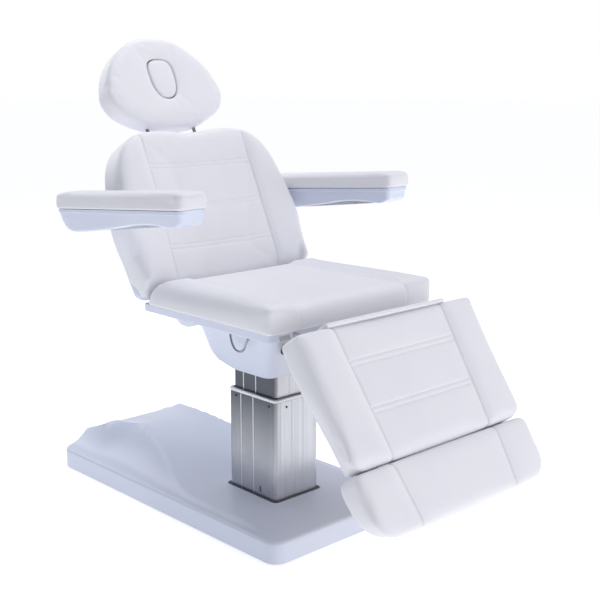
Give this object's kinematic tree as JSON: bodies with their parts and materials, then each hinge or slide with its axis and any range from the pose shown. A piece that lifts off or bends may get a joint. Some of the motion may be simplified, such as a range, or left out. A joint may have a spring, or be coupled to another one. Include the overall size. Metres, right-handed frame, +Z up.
{
  "type": "facial treatment bed",
  "caption": "Electric facial treatment bed: padded seat, reclining back with sliding headrest, folding armrests, tilting leg rest and sliding foot rest on a telescopic lift column.",
  "frame": {"origin": "centre of the bed's box, on the floor, 6.5 mm behind the lift column's axis", "axes": "+Z up, +Y from the foot rest to the back of the bed, +X to the sitter's left"},
  "size_m": [0.87, 1.499, 1.3801],
  "materials": {
    "upholstery": "satin white synthetic leather, fine grain",
    "white_plastic": "semi-gloss moulded plastic, bluish white",
    "aluminium": "satin anodised extrusion",
    "steel": "grey powder coat",
    "chrome": "polished chrome plate",
    "black_plastic": "matt black moulding",
    "rubber": "matt black rubber",
    "plywood": "bare plywood"
  },
  "bodies": {
    "base": {"base_cover": "white_plastic", "power_inlet": "black_plastic", "base_rail_left": "steel", "base_rail_right": "steel", "levelling_foot_front_left": "rubber", "levelling_foot_rear_left": "rubber", "levelling_foot_front_right": "rubber", "levelling_foot_rear_right": "rubber", "column_foot_plate": "steel", "control_box": "black_plastic", "column_outer": "aluminium", "column_collar": "aluminium", "column_gasket": "rubber", "lift_actuator_body": "steel"},
    "carriage": {"column_inner": "aluminium", "lift_rod": "chrome", "column_head_plate": "steel", "seat_shroud": "white_plastic", "seat_tray": "white_plastic", "seat_side_plate_left": "steel", "seat_side_plate_right": "steel", "hook_left": "chrome", "hook_right": "chrome", "back_hinge_shaft": "chrome", "leg_hinge_shaft": "chrome", "seat_board": "plywood", "seat_cushion": "upholstery", "recline_actuator_body": "black_plastic", "leg_actuator_body": "black_plastic"},
    "back": {"back_cushion": "upholstery", "back_board": "plywood", "back_shell": "white_plastic", "back_lever_bar": "steel", "back_rail_left": "steel", "back_rail_right": "steel", "headrest_socket_left": "black_plastic", "headrest_socket_right": "black_plastic", "armrest_spindle_left": "steel", "armrest_spindle_right": "steel"},
    "headrest": {"headrest_post_left": "chrome", "headrest_post_right": "chrome", "headrest_board": "white_plastic", "headrest_cushion": "upholstery"},
    "plug": {"headrest_plug": "upholstery"},
    "armrest_left": {"armrest_shell_left": "white_plastic", "armrest_pad_left": "upholstery"},
    "armrest_right": {"armrest_shell_right": "white_plastic", "armrest_pad_right": "upholstery"},
    "legrest": {"leg_cushion": "upholstery", "leg_board": "plywood", "leg_top_flap": "upholstery", "leg_lever_bar": "steel", "leg_rail_left": "steel", "leg_rail_right": "steel"},
    "footrest": {"foot_cushion": "upholstery", "foot_board": "plywood", "foot_slider_left": "chrome", "foot_slider_right": "chrome"},
    "recline_rod": {"recline_actuator_rod": "chrome"},
    "leg_rod": {"leg_actuator_rod": "chrome"}
  },
  "joints": [
    {"name": "column_lift", "type": "slide", "parent": "base", "child": "carriage", "axis": [0, 0, 1], "range_m": [-0.08, 0.15]},
    {"name": "back_recline", "type": "hinge", "parent": "carriage", "child": "back", "pos_m": [0, 0.2085, 0.632], "axis": [-1, 0, 0], "range_deg": [-5, 62]},
    {"name": "headrest_height", "type": "slide", "parent": "back", "child": "headrest", "axis": [0, 0.4462, 0.8949], "range_m": [-0.035, 0.08]},
    {"name": "plug_removal", "type": "slide", "parent": "headrest", "child": "plug", "axis": [0, -0.8949, 0.4462], "range_m": [0, 0.12]},
    {"name": "armrest_left_fold", "type": "hinge", "parent": "back", "child": "armrest_left", "pos_m": [0, 0.34694, 0.87632], "axis": [-1, 0, 0], "range_deg": [-66, 112]},
    {"name": "armrest_right_fold", "type": "hinge", "parent": "back", "child": "armrest_right", "pos_m": [0, 0.34694, 0.87632], "axis": [-1, 0, 0], "range_deg": [-66, 112]},
    {"name": "legrest_raise", "type": "hinge", "parent": "carriage", "child": "legrest", "pos_m": [0, -0.3845, 0.621], "axis": [-1, 0, 0], "range_deg": [-8, 56.3]},
    {"name": "footrest_slide", "type": "slide", "parent": "legrest", "child": "footrest", "axis": [0, -0.5548, -0.832], "range_m": [0, 0.12]},
    {"name": "recline_actuator_stroke", "type": "slide", "parent": "carriage", "child": "recline_rod", "axis": [0, 0.9933, 0.1155], "range_m": [-0.064, 0.007]},
    {"name": "leg_actuator_stroke", "type": "slide", "parent": "carriage", "child": "leg_rod", "axis": [0, -0.9982, 0.0607], "range_m": [-0.0095, 0.058]}
  ],
  "couplings": [
    {"joint": "recline_actuator_stroke", "follows": "back_recline", "m_per_rad": -0.056917},
    {"joint": "leg_actuator_stroke", "follows": "legrest_raise", "m_per_rad": 0.057149}
  ]
}
